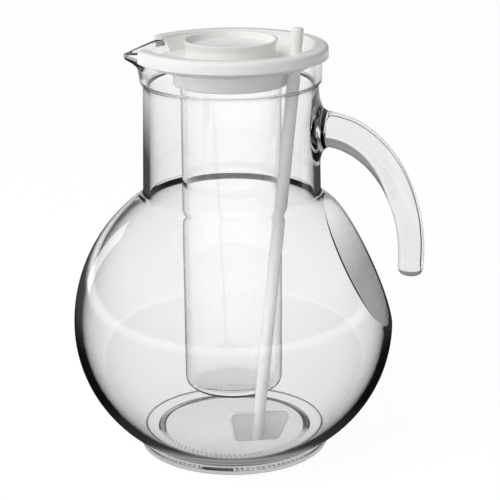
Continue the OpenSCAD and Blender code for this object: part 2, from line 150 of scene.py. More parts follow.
def face_out(mesh, weld=0.0):
    """Merges points closer than weld and turns the faces outwards."""
    work = bmesh.new()
    work.from_mesh(mesh)
    if weld:
        bmesh.ops.remove_doubles(work, verts=work.verts, dist=weld)
    bmesh.ops.recalc_face_normals(work, faces=work.faces)
    work.to_mesh(mesh)
    work.free()
    mesh.shade_smooth()


def new_object(name, points, faces):
    """An object at the origin, with its place in its mesh and its faces pointing out."""
    mesh = bpy.data.meshes.new(name)
    mesh.from_pydata([tuple(c * MM for c in p) for p in points], [], faces)
    face_out(mesh, WELD * MM)
    return placed(name, mesh)


def sharpen(thing, angle):
    """Edges that turn by more than the angle, in degrees, are shown sharp."""
    thing.data.set_sharp_from_angle(angle=math.radians(angle))


def revolve(name, line, sides):
    """A line of (r, z) turned round the axis. Its ends may lie on the axis or meet each other."""
    turns = np.linspace(0, 2 * math.pi, sides, endpoint=False)
    points = [(r * math.cos(t), r * math.sin(t), z) for r, z in line for t in turns]
    return new_object(name, points, ring_bands(len(line), sides))


print("points closer than", WELD, "mm are merged")

# %% [markdown]
# ## The jug's half section
# A jug like this is blown into a mould: the belly is close to a ball, the foot is thick, and the
# neck is nearly straight with a raised band at its mouth. Inside, the wall follows the outside
# and ends in a softly rounded floor. The section is drawn once, from the middle of the underside
# out and up to the rim and down again inside, so the wall is closed from the start and needs no
# Solidify. Denser rows lie where the spout and the handle change the shape.

# %% Sizes of the glass
BELLY_Z, BELLY_WALL = 67.7, 4.0
WAIST_R, WAIST_STEP, FOOT_R, FOOT_H, FOOT_RISE = 49.1, 0.4, 50.7, 4.5, 0.1
PUNT_H, PUNT_R, PUNT_SLOPE = 2.2, 42.4, 4.2
FLOOR_Z, FLOOR_ROUND = 9.0, 8.0
NECK_LOW_R, NECK_TOP_R, NECK_WALL, NECK_ROUND, NECK_TAPER = 46.5, 45.2, 3.3, 4.0, 0.05
# Inside, the neck's foot is rounded more widely: by this beyond the outer rounding and the wall
SHOULDER_EXTRA = 1.0
BAND_R, BAND_H, BAND_STEP, BAND_EDGE, RIM_ROUND = 46.8, 18.0, 1.6, 3.0, 1.45
PANEL_TILT, PANEL_DEPTH, PANEL_WALL = 27.5, 9.9, 3.0
# Roundings of the corners, from the punt's middle to the waist and from the neck to the band
UNDERSIDE_ROUNDS, BAND_ROUNDS = (0, 1.5, 0.8, 1.2, 0.7, 0), (0, 0.8, 1.0, 0)
band_z = rim_z - BAND_H
mouth_r = BAND_R - NECK_WALL


def low_arc(inset):
    """Centre and radius of the arc that draws the belly in to the foot."""
    inward = belly_r - WAIST_R
    radius = (inward**2 + (BELLY_Z - FOOT_H) ** 2) / (2 * inward)
    return (belly_r - radius, BELLY_Z), radius - inset


def neck_start(ball_r, neck_r, fillet):
    """Centre of the rounding between ball and neck, and the direction of its touch on the ball."""
    rise = math.sqrt((ball_r + fillet) ** 2 - (neck_r + fillet) ** 2)
    return (neck_r + fillet, BELLY_Z + rise), math.degrees(math.atan2(rise, neck_r + fillet))


print(f"mouth {2 * mouth_r:.1f} mm wide, wall {NECK_WALL} mm in the neck, {BELLY_WALL} mm in the belly")

# %% Outside rows, from the underside to the rim
PATCH_LOW, PATCH_HIGH, PATCH_ROWS = 152.4, 195.9, 38
WAIST_ROWS, BALL_ROWS, NECK_ROWS, WALL_ROWS, ROUND_ROWS, LIP_ROWS = 32, 38, 6, 22, 7, 5
centre, radius = low_arc(0)
waist_turn = math.degrees(math.asin((FOOT_H + WAIST_STEP - BELLY_Z) / radius))
fillet_centre, touch = neck_start(belly_r, NECK_LOW_R, NECK_ROUND)


def neck_at(z):
    """Outer radius of the neck at a height."""
    share = (z - fillet_centre[1]) / (band_z - fillet_centre[1])
    return NECK_LOW_R + (NECK_TOP_R - NECK_LOW_R) * share


underside = rounded([
    (0, PUNT_H), (PUNT_R - PUNT_SLOPE, PUNT_H), (PUNT_R, 0), (FOOT_R, 0), (FOOT_R, FOOT_H),
    (WAIST_R + WAIST_STEP, FOOT_H + FOOT_RISE),
], UNDERSIDE_ROUNDS)
belly = arc(centre, radius, waist_turn, 0, WAIST_ROWS)
belly += arc((0, BELLY_Z), belly_r, 0, touch, BALL_ROWS)[1:]
shoulder = arc(fillet_centre, NECK_ROUND, touch + 180, 180, ROUND_ROWS)[1:]
patch = [(neck_at(z), z) for z in np.linspace(PATCH_LOW, PATCH_HIGH, PATCH_ROWS + 1)]
neck = stretch(shoulder[-1], patch[0], NECK_ROWS) + patch
band = rounded([
    patch[-1], (NECK_TOP_R, band_z), (BAND_R, band_z + BAND_STEP), (BAND_R, band_z + BAND_EDGE),
], BAND_ROUNDS)[1:]
wall_up = stretch(band[-1], (BAND_R, rim_z - RIM_ROUND), WALL_ROWS)
lip = arc((BAND_R - RIM_ROUND, rim_z - RIM_ROUND), RIM_ROUND, 0, 90, LIP_ROWS)
outside = underside + belly + shoulder + neck + band + wall_up + lip
print(len(outside), "rows outside")

# %% Inside rows, from the rim down to the middle of the floor
NECK_IN_ROWS, BALL_IN_ROWS, WAIST_IN_ROWS, FLOOR_ROWS = 14, 26, 22, 4
ball_in = belly_r - BELLY_WALL
neck_in_r = NECK_LOW_R - NECK_WALL
neck_in_top = NECK_TOP_R - NECK_WALL
inner_fillet = NECK_ROUND + NECK_WALL + SHOULDER_EXTRA
inner_centre, inner_touch = neck_start(ball_in, neck_in_r, inner_fillet)
centre, radius = low_arc(BELLY_WALL)
floor_rise = BELLY_Z - FLOOR_Z - FLOOR_ROUND
floor_reach = math.sqrt((radius - FLOOR_ROUND) ** 2 - floor_rise**2)
floor_turn = math.degrees(math.atan2(-floor_rise, floor_reach))
floor_centre = (centre[0] + floor_reach, FLOOR_Z + FLOOR_ROUND)

lip_in = arc((mouth_r + RIM_ROUND, rim_z - RIM_ROUND), RIM_ROUND, 90, 180, LIP_ROWS)
wall_down = stretch(lip_in[-1], (mouth_r, band_z + BAND_EDGE), WALL_ROWS)
step_in = rounded([
    (mouth_r, band_z + BAND_EDGE), (mouth_r, band_z + BAND_STEP), (neck_in_top, band_z),
    (neck_in_top + NECK_TAPER, band_z - BAND_EDGE),
], BAND_ROUNDS[::-1])
neck_foot = (neck_in_r, inner_centre[1])
neck_in = stretch(step_in[-1], neck_foot, NECK_IN_ROWS) + [neck_foot]
shoulder_in = arc(inner_centre, inner_fillet, 180, inner_touch + 180, ROUND_ROWS)[1:]
room = arc((0, BELLY_Z), ball_in, inner_touch, 0, BALL_IN_ROWS)[1:]
room += arc(centre, radius, 0, floor_turn, WAIST_IN_ROWS)[1:]
floor = arc(floor_centre, FLOOR_ROUND, floor_turn, -90, ROUND_ROWS)[1:]
floor += stretch(floor[-1], (0, FLOOR_Z), FLOOR_ROWS) + [(0, FLOOR_Z)]
inside = lip_in + wall_down + step_in + neck_in + shoulder_in + room + floor
print(len(inside), "rows inside")

# %% [markdown]
# ## The spout
# The pourer is pressed out of the soft rim with a tool, so the glass keeps its thickness and the
# outline runs straight from the band to a small round tip. It could be cut from a block with
# Booleans, but moving the rows of the rim keeps the wall smooth: each point near the tip moves
# out to the line that touches the band and the tip's circle, and less so the lower it lies.

# %% How the rim is pulled out
SPOUT_OUT, TIP_R, SPOUT_WALL, LIP_FALL = 8.7, 2.8, 2.5, 3.5
SPOUT_DROPS = (0, 5.5, 6.7, 8.7, 9.8, 13.9, 16.0)
SPOUT_SHARES = (1, 1, 0.885, 0.38, 0.2, 0.06, 0)
CHANNEL_LIFT = 2.4
reach = BAND_R + SPOUT_OUT


def pull(turn_from_spout, ring_r, tip_reach, tip_r):
    """How far a ring of that radius moves out, at an angle from the spout."""
    middle = tip_reach - tip_r
    edge = math.acos((ring_r - tip_r) / middle)
    if turn_from_spout >= edge:
        return 0.0
    line = ring_r / math.cos(edge - turn_from_spout)
    across = middle * math.sin(turn_from_spout)
    if across < tip_r:
        line = min(line, middle * math.cos(turn_from_spout) + math.sqrt(tip_r**2 - across**2))
    return max(line - ring_r, 0.0)


def shape_rim(r, turn, z, is_inside):
    """Radius and height of a point of the mouth, after the spout is pressed out."""
    if z < rim_z - SPOUT_DROPS[-1]:
        return r, z
    off = abs(turn - math.pi)
    outer = pull(off, BAND_R, reach, TIP_R)
    inner = pull(off, mouth_r, reach - SPOUT_WALL, TIP_R / 2)
    drop = rim_z - z
    across = min(max((r - mouth_r) / NECK_WALL, 0), 1)
    if drop > RIM_ROUND:
        lift = CHANNEL_LIFT if is_inside else 0
        share = float(np.interp(drop + lift, SPOUT_DROPS, SPOUT_SHARES))
        move = share * (inner if is_inside else outer)
    else:
        move = inner + (outer - inner) * across
    new_r = r + move
    slope = min(max((new_r * math.cos(off) - mouth_r) / (reach - mouth_r), 0), 1)
    fall = LIP_FALL * slope * min(max(1 - drop / SPOUT_DROPS[1], 0), 1)
    return new_r, z - fall


print(f"spout reaches {reach:.1f} mm from the axis and falls {LIP_FALL} mm")

# %% [markdown]
# ## The handle
# The handle is a gather of hot glass: a thick cord is pressed on the neck, where it spreads like
# a fillet, drawn out and bent down, and its end hangs free, rounded by the heat. A curve with a
# bevel would give the cord, but not the seamless root. So a rectangle of the neck's grid is left
# out, and the cord starts from that rectangle's own edge points: glass flows into glass without
# a Boolean, and the refraction shows no seam.

# %% The handle's centre line and thickness
HANDLE_Z = 174.5
TAIL = (94.0, 102.8)
DROOP, PULL_TOP, PULL_LOW, LEAN = 5.4, 31.8, 34.1, 2.6
ROOT_D, TAIL_D, SLIM_SHARE, WIDTH_SHARE = 19.2, 13.4, 1.4, 1.08
FLARE_HEIGHT, FLARE_WIDTH, FLARE_OUT = 20.2, 18.6, 5.0

line_points = [
    Vector((NECK_LOW_R, HANDLE_Z)),
    Vector((NECK_LOW_R + PULL_TOP * math.cos(math.radians(DROOP)),
            HANDLE_Z - PULL_TOP * math.sin(math.radians(DROOP)))),
    Vector((TAIL[0] + PULL_LOW * math.sin(math.radians(LEAN)),
            TAIL[1] + PULL_LOW * math.cos(math.radians(LEAN)))),
    Vector(TAIL),
]


def centre_line(t):
    """Point and direction of the centre line, with t from 0 at the neck to 1 at the tail."""
    a, b, c, d = line_points
    point = (1 - t) ** 3 * a + 3 * (1 - t) ** 2 * t * b + 3 * (1 - t) * t**2 * c + t**3 * d
    run = 3 * (1 - t) ** 2 * (b - a) + 6 * (1 - t) * t * (c - b) + 3 * t**2 * (d - c)
    return point, run.normalized()


def cord_size(t):
    """Half height and half width of the handle's section."""
    high = (TAIL_D + (ROOT_D - TAIL_D) * (1 - t) ** SLIM_SHARE) / 2
    return high, WIDTH_SHARE * high


bend, _ = centre_line(0.5)
print(f"the middle of the handle lies {bend.x:.1f} mm from the axis, {bend.y:.1f} mm high")

# %% Rings of the handle
SIDES, HALF_COLUMNS = 240, 17
ROOT_RINGS, FLARE_RINGS, CORD_RINGS, END_RINGS, SETTLE_RINGS = 4, 12, 60, 14, 8
START_T = 0.055
# The end is flatter than a ball: 1 would be a ball, and less is squarer.
END_SHARE = 0.6


def root_rings(edge, turns):
    """Rings on the neck's own surface, from the patch's edge to the flare's ellipse."""
    rings = []
    for ring in range(1, ROOT_RINGS + 1):
        share = ring / ROOT_RINGS
        row = []
        for (y, z), a in zip(edge, turns):
            y2 = y + (FLARE_WIDTH * math.sin(a) - y) * share
            z2 = z + (HANDLE_Z + FLARE_HEIGHT * math.cos(a) - z) * share
            row.append((math.sqrt(neck_at(z2) ** 2 - y2**2), y2, z2))
        rings.append(row)
    return rings


def flare_rings(turns):
    """Rings that leave the neck like a fillet and draw in to the cord."""
    high, wide = cord_size(START_T)
    start, _ = centre_line(START_T)
    rings = []
    for ring in range(1, FLARE_RINGS + 1):
        rise = math.radians(90 * ring / FLARE_RINGS)
        out = FLARE_OUT * (1 - math.cos(rise))
        row_high = FLARE_HEIGHT - (FLARE_HEIGHT - high) * math.sin(rise)
        row_wide = FLARE_WIDTH - (FLARE_WIDTH - wide) * math.sin(rise)
        middle = HANDLE_Z + (start.y - HANDLE_Z) * math.sin(rise)
        row = []
        for a in turns:
            y, z = row_wide * math.sin(a), middle + row_high * math.cos(a)
            row.append((math.sqrt((neck_at(z) + out) ** 2 - y**2), y, z))
        rings.append(row)
    return rings


def cord_rings(turns):
    """Rings along the centre line. The first ones settle from the neck's curve to a flat section."""
    start, _ = centre_line(START_T)
    rings = []
    for ring in range(1, CORD_RINGS + 1):
        t = START_T + (1 - START_T) * ring / CORD_RINGS
        point, run = centre_line(t)
        settle = min(ring / SETTLE_RINGS, 1)
        settle = settle * settle * (3 - 2 * settle)
        high, wide = cord_size(t)
        row = []
        for a in turns:
            x = point.x - high * math.cos(a) * run.y
            y, z = wide * math.sin(a), point.y + high * math.cos(a) * run.x
            root_z = point.y + high * math.cos(a)
            flat_x = neck_at(root_z) + FLARE_OUT + point.x - start.x
            root_x = math.sqrt(flat_x**2 - y**2)
            row.append((root_x + (x - root_x) * settle, y, root_z + (z - root_z) * settle))
        rings.append(row)
    return rings


def end_rings(turns):
    """Rings of the free end, and its last point."""
    point, run = centre_line(1)
    high, wide = cord_size(1)
    rings = []
    for ring in range(1, END_RINGS + 1):
        turn = math.radians(90 * ring / (END_RINGS + 1))
        middle = point + run * high * math.sin(turn) ** END_SHARE
        size = math.cos(turn) ** END_SHARE
        row = []
        for a in turns:
            up = high * size * math.cos(a)
            row.append((middle.x - up * run.y, wide * size * math.sin(a), middle.y + up * run.x))
        rings.append(row)
    tip = point + run * high
    return rings, (tip.x, 0.0, tip.y)


def handle_rings(edge):
    """All rings after the patch's edge, which is given as (y, z) pairs, and the last point."""
    turns = [math.atan2(y / FLARE_WIDTH, (z - HANDLE_Z) / FLARE_HEIGHT) for y, z in edge]
    last_rings, tip = end_rings(turns)
    return root_rings(edge, turns) + flare_rings(turns) + cord_rings(turns) + last_rings, tip


print("the handle has", ROOT_RINGS + FLARE_RINGS + CORD_RINGS + END_RINGS, "rings")


# %% The glass as one closed mesh
def patch_edge(first, last):
    """Row and column of each point round the rectangle that is left out for the handle."""
    loop = [(last, column) for column in range(-HALF_COLUMNS, HALF_COLUMNS)]
    loop += [(row, HALF_COLUMNS) for row in range(last, first, -1)]
    loop += [(first, column) for column in range(HALF_COLUMNS, -HALF_COLUMNS, -1)]
    loop += [(row, -HALF_COLUMNS) for row in range(first, last)]
    return loop


def build_glass():
    """Points and faces of the whole glass, with the handle grown out of the neck's grid."""
    rows = [(r, z, False) for r, z in outside[1:]] + [(r, z, True) for r, z in inside[1:-1]]
    points = []
    for r, z, is_inside in rows:
        for turn in np.linspace(0, 2 * math.pi, SIDES, endpoint=False):
            new_r, new_z = shape_rim(r, turn, z, is_inside)
            points.append((new_r * math.cos(turn), new_r * math.sin(turn), new_z))

    first = len(outside) - 1 - len(band + wall_up + lip) - len(patch)
    last = first + PATCH_ROWS
    faces = []
    for index, face in enumerate(ring_bands(len(rows), SIDES)):
        row, side = divmod(index, SIDES)
        column = side if side < SIDES / 2 else side - SIDES
        if not (first <= row < last and -HALF_COLUMNS <= column < HALF_COLUMNS):
            faces.append(face)
    for height, start in ((PUNT_H, 0), (FLOOR_Z, (len(rows) - 1) * SIDES)):
        points.append((0.0, 0.0, height))
        faces += [(len(points) - 1, start + i, start + (i + 1) % SIDES) for i in range(SIDES)]

    before = [row * SIDES + column % SIDES for row, column in patch_edge(first, last)]
    rings, tip = handle_rings([points[i][1:] for i in before])
    count = len(before)
    for ring in rings:
        now = list(range(len(points), len(points) + count))
        points += ring
        for i in range(count):
            j = (i + 1) % count
            faces.append((before[i], before[j], now[j], now[i]))
        before = now
    points.append(tip)
    faces += [(before[i], before[(i + 1) % count], len(points) - 1) for i in range(count)]
    return points, faces


glass = new_object("jug_glass", *build_glass())
print(glass.name, len(glass.data.polygons), "faces")

# %% [markdown]
# ## The flat panel
# One side of the ball, under the handle, is ground and polished flat, so that knuckles have room.
# A plane cuts the outside, and a second one, nearer the middle, flattens the wall inside. Cutting
# the finished grid with bisect keeps the crease crisp, which a moved grid would blur.

# %% Cutting both skins of the belly
# A face belongs to a skin if its middle lies within SKIN_NEAR of that skin's ball. The skin starts
# SKIN_DOWN below the belly's middle and ends SKIN_UP above the ball's last row. CUT_NEAR is how
# near a point counts as on the plane, in metres.
SKIN_NEAR, SKIN_DOWN, SKIN_UP, CUT_NEAR = 1.2, 20.0, 0.7, 1e-7


def flatten(thing, distance, ball_r, ball_end):
    """Cuts one skin of the belly by the panel's plane and closes the hole with one flat face."""
    middle = Vector((0, 0, BELLY_Z)) * MM
    tilt = math.radians(PANEL_TILT)
    normal = Vector((math.cos(tilt), 0, math.sin(tilt)))
    skin_top = ball_r * math.sin(math.radians(ball_end)) + SKIN_UP
    work = bmesh.new()
    work.from_mesh(thing.data)
    skin = []
    for face in work.faces:
        off = (face.calc_center_median() - middle) / MM
        if abs(off.length - ball_r) < SKIN_NEAR and off.x > 0 and -SKIN_DOWN < off.z < skin_top:
            skin.append(face)
    corners = list(dict.fromkeys(corner for face in skin for corner in face.verts))
    edges = list(dict.fromkeys(edge for face in skin for edge in face.edges))
    cut = bmesh.ops.bisect_plane(
        work, geom=corners + edges + skin, plane_co=middle + normal * distance * MM,
        plane_no=normal, clear_outer=True, dist=CUT_NEAR)
    rim = [e for e in cut["geom_cut"] if isinstance(e, bmesh.types.BMEdge)]
    made = bmesh.ops.edgeloop_fill(work, edges=rim)
    for part in rim + made["faces"]:
        part.smooth = False
    bmesh.ops.recalc_face_normals(work, faces=work.faces)
    work.to_mesh(thing.data)
    open_edges = sum(1 for edge in work.edges if len(edge.link_faces) != 2)
    work.free()
    return len(rim), open_edges


outer_cut = flatten(glass, belly_r - PANEL_DEPTH, belly_r, touch)
inner_cut = flatten(glass, belly_r - PANEL_DEPTH - PANEL_WALL, ball_in, inner_touch)
print("edges round the panel and edges left open:", outer_cut, inner_cut)

# %% [markdown]
# ## The ice tube
# A clear moulded beaker with a round lower edge hangs in the lid by a thin flange. It follows a
# rule, so Geometry Nodes make it: the half section is a line of edges, a circle is the path,
# and Curve to Mesh sweeps one along the other. The same tree then makes the cap.

# %% A node tree that turns a section round the axis
# The circle's radius. The section is drawn from it, so it changes nothing in the result.
PATH_R = 10.0


def add_node(tree, kind, values=None):
    """Adds a node and sets its properties and sockets. A value that is a socket is linked."""
    made = tree.nodes.new(kind)
    for key, value in (values or {}).items():
        if isinstance(value, bpy.types.NodeSocket):
            tree.links.new(value, made.inputs[key])
        elif isinstance(key, str) and hasattr(made, key):
            setattr(made, key, value)
        else:
            made.inputs[key].default_value = value
    return made


def new_tree(name, inputs):
    """A tree that turns one geometry into another, and its inputs by name."""
    tree = bpy.data.node_groups.new(name, "GeometryNodeTree")
    for label, kind in inputs:
        tree.interface.new_socket(label, in_out="INPUT", socket_type="NodeSocket" + kind)
    tree.interface.new_socket("Solid", in_out="OUTPUT", socket_type="NodeSocketGeometry")
    return tree, add_node(tree, "NodeGroupInput").outputs


def end_tree(tree, made, finish):
    """Ends a tree: plain mesh instead of instances, dressed in the finish."""
    real = add_node(tree, "GeometryNodeRealizeInstances", {0: made.outputs[0]})
    dressed = add_node(tree, "GeometryNodeSetMaterial",
                       {"Geometry": real.outputs[0], "Material": finish})
    add_node(tree, "NodeGroupOutput", {0: dressed.outputs[0]})


def turning_tree():
    """Section in, solid of revolution out, with its number of sides and its material as inputs."""
    tree, ins = new_tree("turned_section", (
        ("Section", "Geometry"), ("Sides", "Int"), ("Path radius", "Float"), ("Finish", "Material")))
    path = add_node(tree, "GeometryNodeCurvePrimitiveCircle",
                    {"Resolution": ins["Sides"], "Radius": ins["Path radius"]})
    section = add_node(tree, "GeometryNodeMeshToCurve", {0: ins["Section"]})
    swept = add_node(tree, "GeometryNodeCurveToMesh",
                     {"Curve": path.outputs[0], "Profile Curve": section.outputs[0]})
    closed = add_node(tree, "GeometryNodeMergeByDistance",
                      {"Distance": WELD * MM, "Geometry": swept.outputs[0]})
    end_tree(tree, closed, ins["Finish"])
    return tree


def keep_result(thing):
    """Keeps what the modifiers make of an object as its plain mesh, without them."""
    graph = bpy.context.evaluated_depsgraph_get()
    mesh = bpy.data.meshes.new_from_object(thing.evaluated_get(graph))
    thing.modifiers.clear()
    old = thing.data
    thing.data = mesh
    mesh.name = thing.name
    bpy.data.meshes.remove(old)


def run_tree(thing, tree, values):
    """Runs a tree on an object with the named inputs, and keeps the result as a plain mesh."""
    modifier = thing.modifiers.new(tree.name, "NODES")
    modifier.node_group = tree
    for item in tree.interface.items_tree:
        if item.in_out == "INPUT" and item.name in values:
            modifier[item.identifier] = values[item.name]
    keep_result(thing)
    face_out(thing.data)
    return thing


def turned_piece(name, line, finish, sides=160):
    """A round piece, made by the tree from a closed or axis-to-axis section."""
    mesh = bpy.data.meshes.new(name)
    # Curve to Mesh points a section's x away from the circle's middle and its y down.
    spots = [((r - PATH_R) * MM, -z * MM, 0) for r, z in line]
    mesh.from_pydata(spots, [(i, i + 1) for i in range(len(spots) - 1)], [])
    values = {"Sides": sides, "Path radius": PATH_R * MM, "Finish": finish}
    return run_tree(placed(name, mesh), TURNING, values)


TURNING = turning_tree()
print("tree:", TURNING.name, "with", len(TURNING.nodes), "nodes")

# %% [markdown]
# ## Finishes
# Three real materials make this jug. Soda-lime glass, fire-polished, is clear with a refractive
# index of 1.52, and light that leaves it at a flat angle is partly lost. Its dark outlines are
# partly the dark room that it mirrors and partly painted shade: its colour is darkened where the
# surface is seen at a flat angle. The tube is clear polystyrene, whose higher index of 1.59 makes
# its edges stronger, and it has the same painted shade on its edges. Lid, cap and stirrer are
# white polypropylene, glossy from the mould, with a soft depth under the surface.


# %% Colour and shading helpers
def colour(hex_code):
    """A linear colour with alpha, from an sRGB hex code."""
    parts = [int(hex_code[i:i + 2], 16) / 255 for i in (1, 3, 5)]
    linear = [p / 12.92 if p <= 0.04045 else ((p + 0.055) / 1.055) ** 2.4 for p in parts]
    return (*linear, 1.0)


def empty_tree(owner):
    """The node tree of a material or a world, without nodes."""
    owner.use_nodes = True
    owner.node_tree.nodes.clear()
    return owner.node_tree


def new_material(name, values):
    """A material, its tree and its shader, which has these values."""
    made = bpy.data.materials.new(name)
    tree = empty_tree(made)
    shader = add_node(tree, "ShaderNodeBsdfPrincipled", values)
    add_node(tree, "ShaderNodeOutputMaterial", {"Surface": shader.outputs[0]})
    return made, tree, shader


def set_ramp(ramp, stops):
    """Sets the stops (position, hex colour) of a colour ramp."""
    marks = ramp.color_ramp.elements
    while len(marks) > 1:
        marks.remove(marks[-1])
    marks[0].position, marks[0].color = stops[0][0], colour(stops[0][1])
    for place, code in stops[1:]:
        mark = marks.new(place)
        mark.color = colour(code)


def noise_of(tree, size_mm, detail):
    """Noise fixed to the piece, with features of that size in millimetres."""
    place = add_node(tree, "ShaderNodeTexCoord").outputs["Object"]
    values = {"Scale": 1 / (size_mm * MM), "Detail": detail, "Vector": place}
    return add_node(tree, "ShaderNodeTexNoise", values).outputs[0]


def add_relief(tree, shader, size_mm, depth_mm, detail):
    """A fine relief in the surface, of that size and depth in millimetres."""
    values = {"Distance": depth_mm * MM, "Strength": 1.0, "Height": noise_of(tree, size_mm, detail)}
    bump = add_node(tree, "ShaderNodeBump", values)
    tree.links.new(bump.outputs[0], shader.inputs["Normal"])


def clear_material(name, ior, roughness, painted_edge_shade, wave_mm, wave_depth_mm):
    """A clear material with a faint wave in the surface. Its colour is darkened where it is seen at a
    flat angle, as painted shade on its edges.
    """
    made, tree, shader = new_material(
        name, {"Transmission Weight": 1.0, "Roughness": roughness, "IOR": ior})
    facing = add_node(tree, "ShaderNodeLayerWeight", {"Blend": 0.5})
    # Painted shade: the ramp darkens the colour as the surface is seen at a flatter angle.
    ramp = add_node(tree, "ShaderNodeValToRGB", {0: facing.outputs["Facing"]})
    set_ramp(ramp, painted_edge_shade)
    tree.links.new(ramp.outputs[0], shader.inputs["Base Color"])
    add_relief(tree, shader, wave_mm, wave_depth_mm, 1.0)
    return made


print("sRGB #808080 is", round(colour("#808080")[0], 3), "in linear light")

# %% The three finishes
# Fire-polished soda-lime glass: slow waves of about 25 mm, left by blowing, bend what is seen
# through it. The edges get painted shade: the colour darkens where the surface is seen at a flat
# angle and draws dark lines.
GLASS_PAINTED_EDGE_SHADE = ((0.0, "#FCFCFC"), (0.60, "#FAFAFA"), (0.82, "#E8E8E8"), (1.0, "#606060"))
glass_finish = clear_material("fire_polished_soda_lime_glass", 1.52, 0.0, GLASS_PAINTED_EDGE_SHADE, 25, 0.02)

# Clear injection-moulded polystyrene: smooth, with the faint sink waves of moulding. Its edges get
# painted shade the same way: the colour darkens where the surface is seen at a flat angle.
TUBE_PAINTED_EDGE_SHADE = ((0.0, "#FCFCFC"), (0.65, "#F6F6F6"), (0.85, "#C4C4C4"), (1.0, "#707070"))
tube_finish = clear_material("clear_moulded_polystyrene", 1.59, 0.01, TUBE_PAINTED_EDGE_SHADE, 18, 0.01)

# Moulded polypropylene: glossy, faintly translucent and a little cloudy. The mould's own grain is
# about 0.1 mm, too fine for the picture, so it is drawn 1.5 mm coarse.
CLOUD_MM, CLOUD_TONES, GRAIN_MM, GRAIN_DEPTH = 30, ((0.3, "#EEEEEC"), (0.7, "#F1F1EF")), 1.5, 0.004
plastic_finish, tree, shader = new_material("white_moulded_polypropylene", {
    "Roughness": 0.22, "IOR": 1.49, "Subsurface Weight": 0.12,
    "Subsurface Radius": (1.0, 1.0, 1.0), "Subsurface Scale": 1.2 * MM})
tone = add_node(tree, "ShaderNodeValToRGB", {0: noise_of(tree, CLOUD_MM, 2.0)})
set_ramp(tone, CLOUD_TONES)
tree.links.new(tone.outputs[0], shader.inputs["Base Color"])
add_relief(tree, shader, GRAIN_MM, GRAIN_DEPTH, 2.0)
print("finishes:", glass_finish.name, tube_finish.name, plastic_finish.name)

# %% Ice tube and cap
TUBE_WALL, TUBE_ROUND, FLANGE_W, FLANGE_T, MOUTH_H = 2.0, 6.0, 1.6, 1.8, 4.6
TUBE_ROUNDS = (0, TUBE_ROUND, 0.3, 0.4, 0.4, 0.3, 0.7, 0.7, TUBE_ROUND - TUBE_WALL, 0)
tube_r = tube_high.x - FLANGE_W
tube_in_r = tube_r - TUBE_WALL
flange_z = tube_high.z - MOUTH_H - FLANGE_T
tube_line = rounded([
    (0, tube_low.z), (tube_r, tube_low.z), (tube_r, flange_z), (tube_high.x, flange_z),
    (tube_high.x, flange_z + FLANGE_T), (tube_r, flange_z + FLANGE_T), (tube_r, tube_high.z),
    (tube_in_r, tube_high.z), (tube_in_r, tube_low.z + TUBE_WALL), (0, tube_low.z + TUBE_WALL),
], TUBE_ROUNDS, steps=6)
ice_tube = turned_piece("ice_tube_clear", tube_line, tube_finish)

CAP_WALL, CAP_IN, CAP_FLARE, CAP_H, RECESS_H, LIP_H = 1.6, 2.8, 1.3, 10.6, 3.6, 3.4
REST_T, PLUG_SLIP = 1.4, 0.3
CAP_ROUNDS = (0, 0.8, 0.6, 0.6, 0.5, 0.7, 0.3, 0.4, 0.8, 2.2, 2.0, 0.9, 0.7, 0.8, 0)
cap_r = tube_r - CAP_IN
cap_in_r = cap_r - CAP_WALL
cap_lip_r = cap_r + CAP_FLARE
seat_z = cap_high.z - CAP_H
plug_r = tube_in_r - PLUG_SLIP
plate_z = cap_high.z - RECESS_H
cap_line = rounded([
    (0, plate_z - CAP_WALL), (cap_in_r, plate_z - CAP_WALL), (cap_in_r, seat_z + REST_T),
    (plug_r - CAP_WALL, seat_z), (plug_r - CAP_WALL, cap_low.z), (plug_r, cap_low.z),
    (plug_r, seat_z), (cap_high.x, seat_z), (cap_high.x, seat_z + REST_T), (cap_r, seat_z + REST_T),
    (cap_r, cap_high.z - LIP_H), (cap_lip_r, cap_high.z), (cap_lip_r - CAP_WALL, cap_high.z),
    (cap_in_r, plate_z), (0, plate_z),
], CAP_ROUNDS, steps=5)
cap = turned_piece("ice_tube_cap_white", cap_line, plastic_finish)
for piece in (ice_tube, cap):
    print(piece.name, len(piece.data.polygons), "faces")

# %% [markdown]
# ## The lid
# One moulding: a floor with a socket for the tube, a sloping wall that plugs the mouth, and a
# rolled ring that sits on the rim. A notch in ring and wall lets the drink out, and the ring ends
# there in round noses. The round floor is a turned solid with a bored hole for the stirrer. The
# ring and the wall are sections swept round part of the circle, because only a sweep lets the
# ring's ends close to a nose.

# %% A section swept round part of a circle
# The notch takes this much to each side of the spout, in degrees. A nose stops just short of its
# point, so that its last ring can still be closed by a face.
NOTCH_HALF, NOSE_TURN, NOSE_STEPS, ARC_STEPS = 29.5, 88, 9, 150


def swept_arc(name, line, nose=None, skirt=None):
    """A closed section swept round all but the notch. A nose is given by its length and by the
    middle radius that it draws in to, a skirt by the least radius of all below a height."""
    start, end = -180 + NOTCH_HALF, 180 - NOTCH_HALF
    turns = [(math.radians(turn), 1.0) for turn in np.linspace(start, end, ARC_STEPS)]
    if nose:
        length, middle_r = nose
        beyond = math.degrees(length / middle_r)
        bends = np.radians(np.linspace(0, NOSE_TURN, NOSE_STEPS)[1:])
        tail = [(math.radians(end + beyond * math.sin(b)), math.cos(b)) for b in bends]
        head = [(math.radians(start - beyond * math.sin(b)), math.cos(b)) for b in bends[::-1]]
        turns = head + turns + tail
    points = []
    for turn, share in turns:
        for r, z in line:
            new_r = middle_r + (r - middle_r) * share if nose else r
            if skirt and z < skirt[1]:
                new_r = max(new_r, skirt[0])
            points.append((new_r * math.cos(turn), new_r * math.sin(turn), z))
    first_end = tuple(range(len(line)))
    last_end = tuple(range(len(points) - len(line), len(points)))
    return new_object(name, points, ring_bands(len(turns), len(line)) + [first_end, last_end])


print("the notch is", 2 * NOTCH_HALF, "degrees wide")

